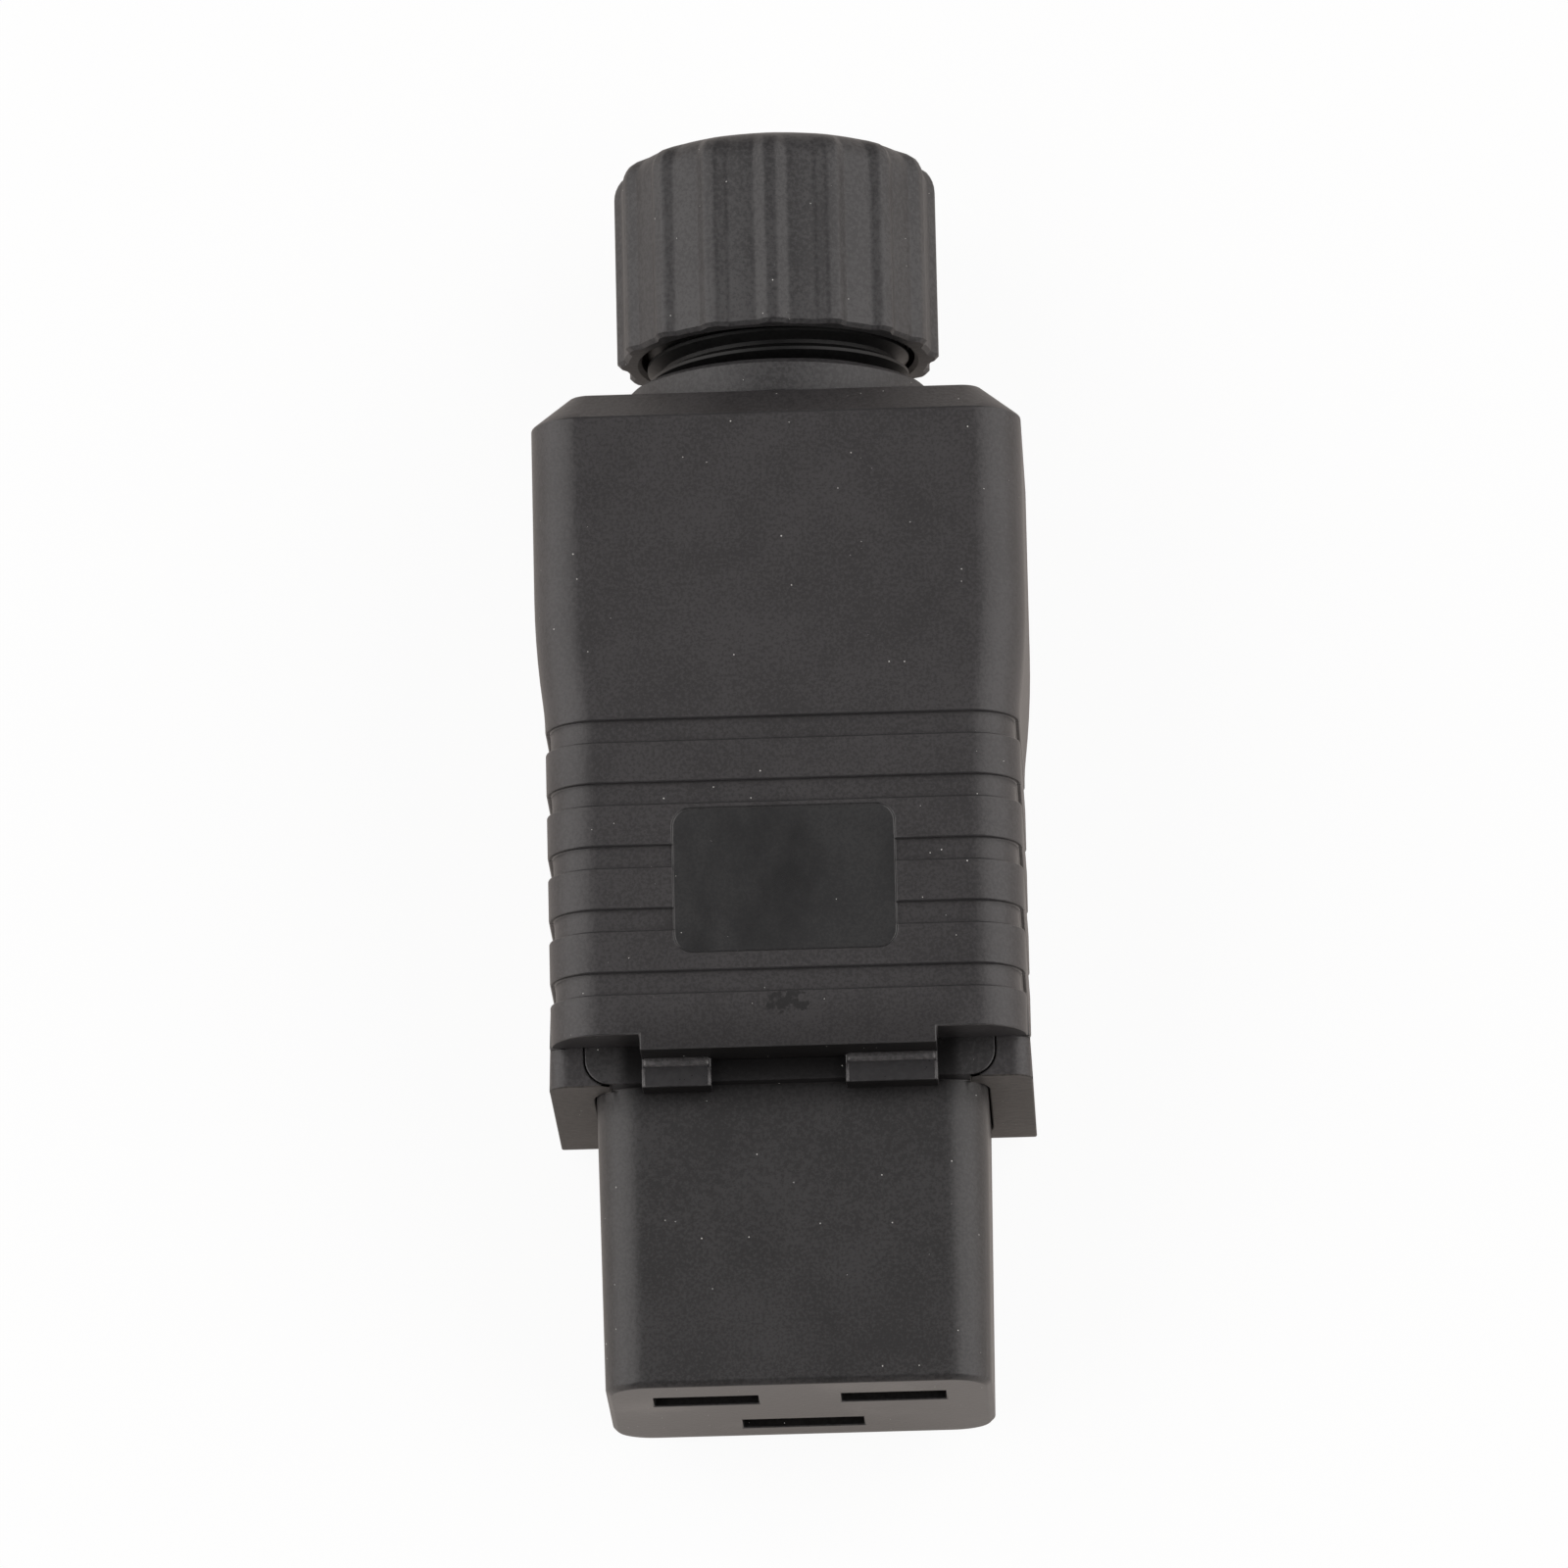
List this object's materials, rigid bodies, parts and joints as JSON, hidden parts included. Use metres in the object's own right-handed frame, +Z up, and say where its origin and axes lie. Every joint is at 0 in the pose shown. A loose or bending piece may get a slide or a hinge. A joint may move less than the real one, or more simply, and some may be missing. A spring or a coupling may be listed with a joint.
{
  "type": "re-wireable power connector",
  "caption": "Straight re-wireable power connector: flat rounded nose with blade slots, ribbed two-part shell with a label recess, and a ribbed cord gland nut.",
  "frame": {"origin": "middle of the overall length and width, on the plane the base rests on", "axes": "+Z up through the cover, -Y towards the nose, +Y towards the gland nut"},
  "size_m": [0.037, 0.097, 0.0274],
  "materials": {
    "shell": "fine moulded texture, black",
    "block": "smooth moulded, black",
    "gland": "smooth moulded, black",
    "sleeve": "soft black",
    "washer": "natural nylon",
    "contact": "stamped strip",
    "spring": "spring strip",
    "plated": "zinc plated"
  },
  "bodies": {
    "shell": {"lower_shell": "shell", "upper_shell": "shell", "contact_block": "block", "line_contact": "contact", "neutral_contact": "contact", "earth_contact": "contact", "line_spring": "spring", "neutral_spring": "spring", "earth_spring": "spring", "line_clamp": "plated", "neutral_clamp": "plated", "earth_clamp": "plated", "terminal_screws": "plated", "terminal_lid": "block", "lid_screws": "plated", "cover_screws": "plated", "gland_body": "gland", "gland_claw": "gland", "sealing_sleeve": "sleeve"},
    "travel": {"slip_washer": "washer"},
    "nut": {"gland_nut": "gland"}
  },
  "joints": [
    {"name": "gland_travel", "type": "slide", "parent": "shell", "child": "travel", "axis": [0, 1, 0], "range_m": [-0.00245, 0.00605]},
    {"name": "nut_turn", "type": "hinge", "parent": "travel", "child": "nut", "pos_m": [0, 0.04, 0.0127], "axis": [0, 1, 0], "range_deg": [-576, 1440]}
  ],
  "couplings": [
    {"joint": "gland_travel", "follows": "nut_turn", "m_per_rad": 0.00023873}
  ]
}
